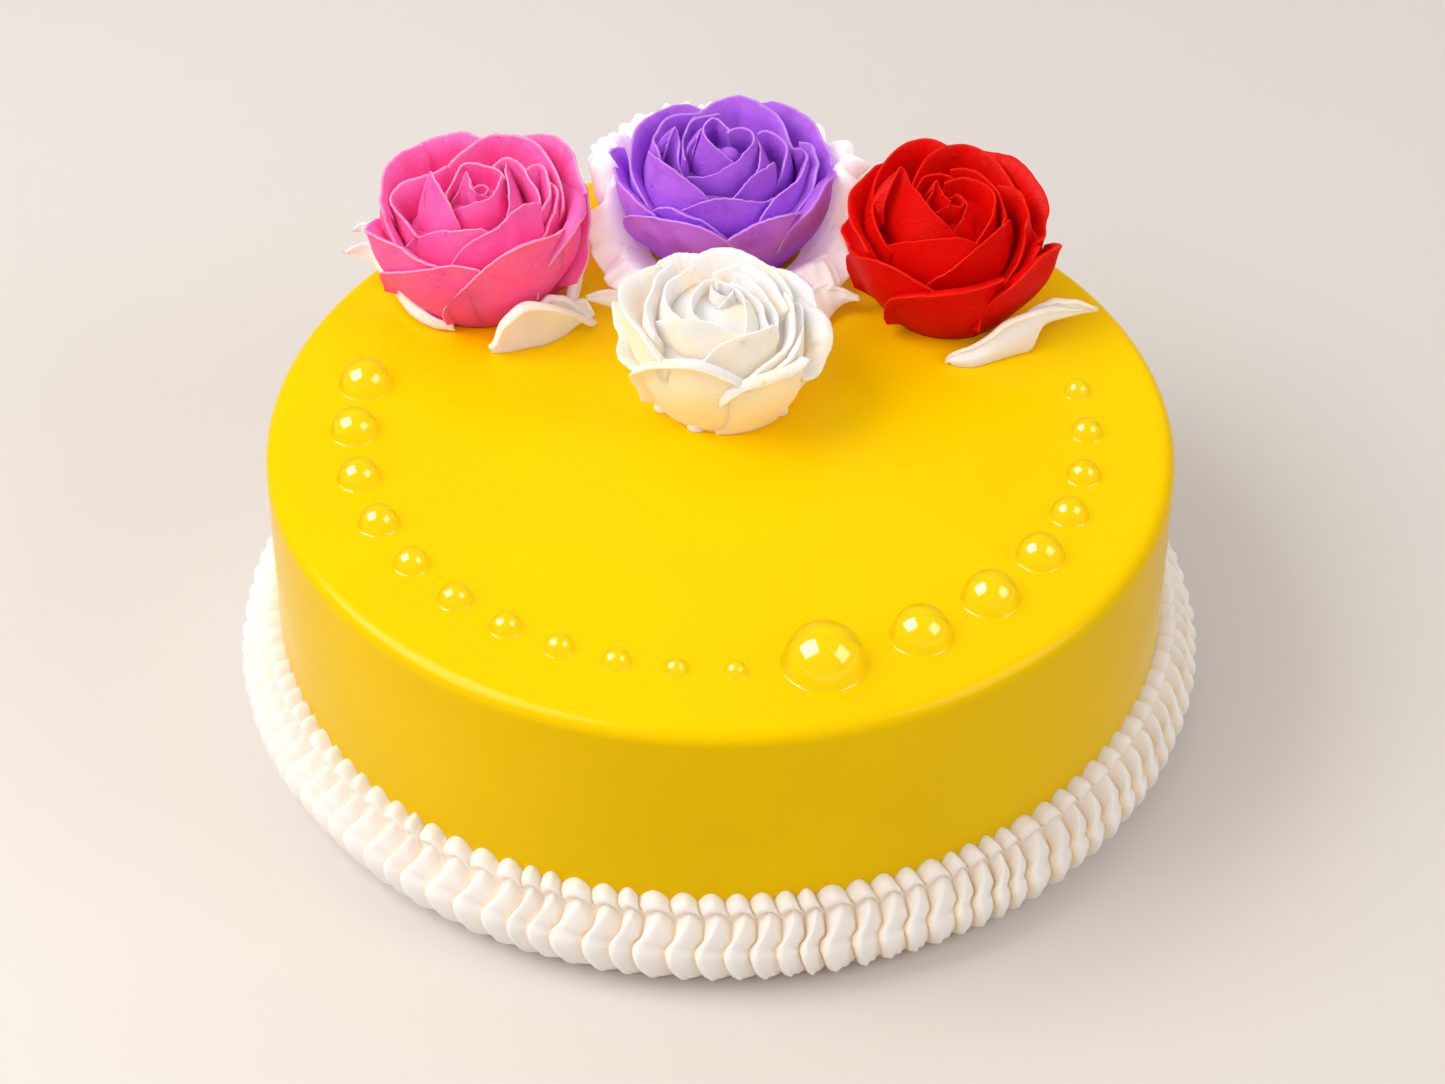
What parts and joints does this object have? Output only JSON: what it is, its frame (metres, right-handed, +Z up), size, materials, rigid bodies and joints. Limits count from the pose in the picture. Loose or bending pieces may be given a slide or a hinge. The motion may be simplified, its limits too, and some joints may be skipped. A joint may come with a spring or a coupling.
{
  "type": "decorated cake",
  "caption": "Round yellow glazed cake with a piped cream rope round its foot, piped roses with pale leaves on a ruffled collar, and clear jelly drops along its upper edge.",
  "frame": {"origin": "on the cake's axis, in the plane it stands on", "axes": "+Z up; -Y towards the viewer's side, where the top is free of roses; +X to that viewer's right"},
  "size_m": [0.2188, 0.2188, 0.1027],
  "materials": {
    "glaze": "glossy clear yellow mirror glaze",
    "cream": "satin white whipped cream",
    "pink_cream": "satin pink piped cream",
    "purple_cream": "satin purple piped cream",
    "white_cream": "satin white piped cream",
    "red_cream": "satin red piped cream",
    "leaf_cream": "satin pale piped cream",
    "jelly": "clear glossy yellow jelly"
  },
  "bodies": {
    "root": {"cake_body": "glaze", "rope_border": "cream", "rose_collar": "cream", "rose_pink": "pink_cream", "rose_purple": "purple_cream", "rose_white": "white_cream", "rose_red": "red_cream", "leaf_pink_front": "leaf_cream", "leaf_pink_right": "leaf_cream", "leaf_pink_left": "leaf_cream", "leaf_pink_rear_left": "leaf_cream", "leaf_pink_rear": "leaf_cream", "leaf_white_left": "leaf_cream", "leaf_white_right": "leaf_cream", "leaf_red_front": "leaf_cream", "leaf_red_rear": "leaf_cream", "drop_01": "jelly", "drop_02": "jelly", "drop_03": "jelly", "drop_04": "jelly", "drop_05": "jelly", "drop_06": "jelly", "drop_07": "jelly", "drop_08": "jelly", "drop_09": "jelly", "drop_10": "jelly", "drop_11": "jelly", "drop_12": "jelly", "drop_13": "jelly", "drop_14": "jelly", "drop_15": "jelly", "drop_16": "jelly", "drop_17": "jelly", "drop_18": "jelly", "drop_19": "jelly"}
  },
  "joints": []
}
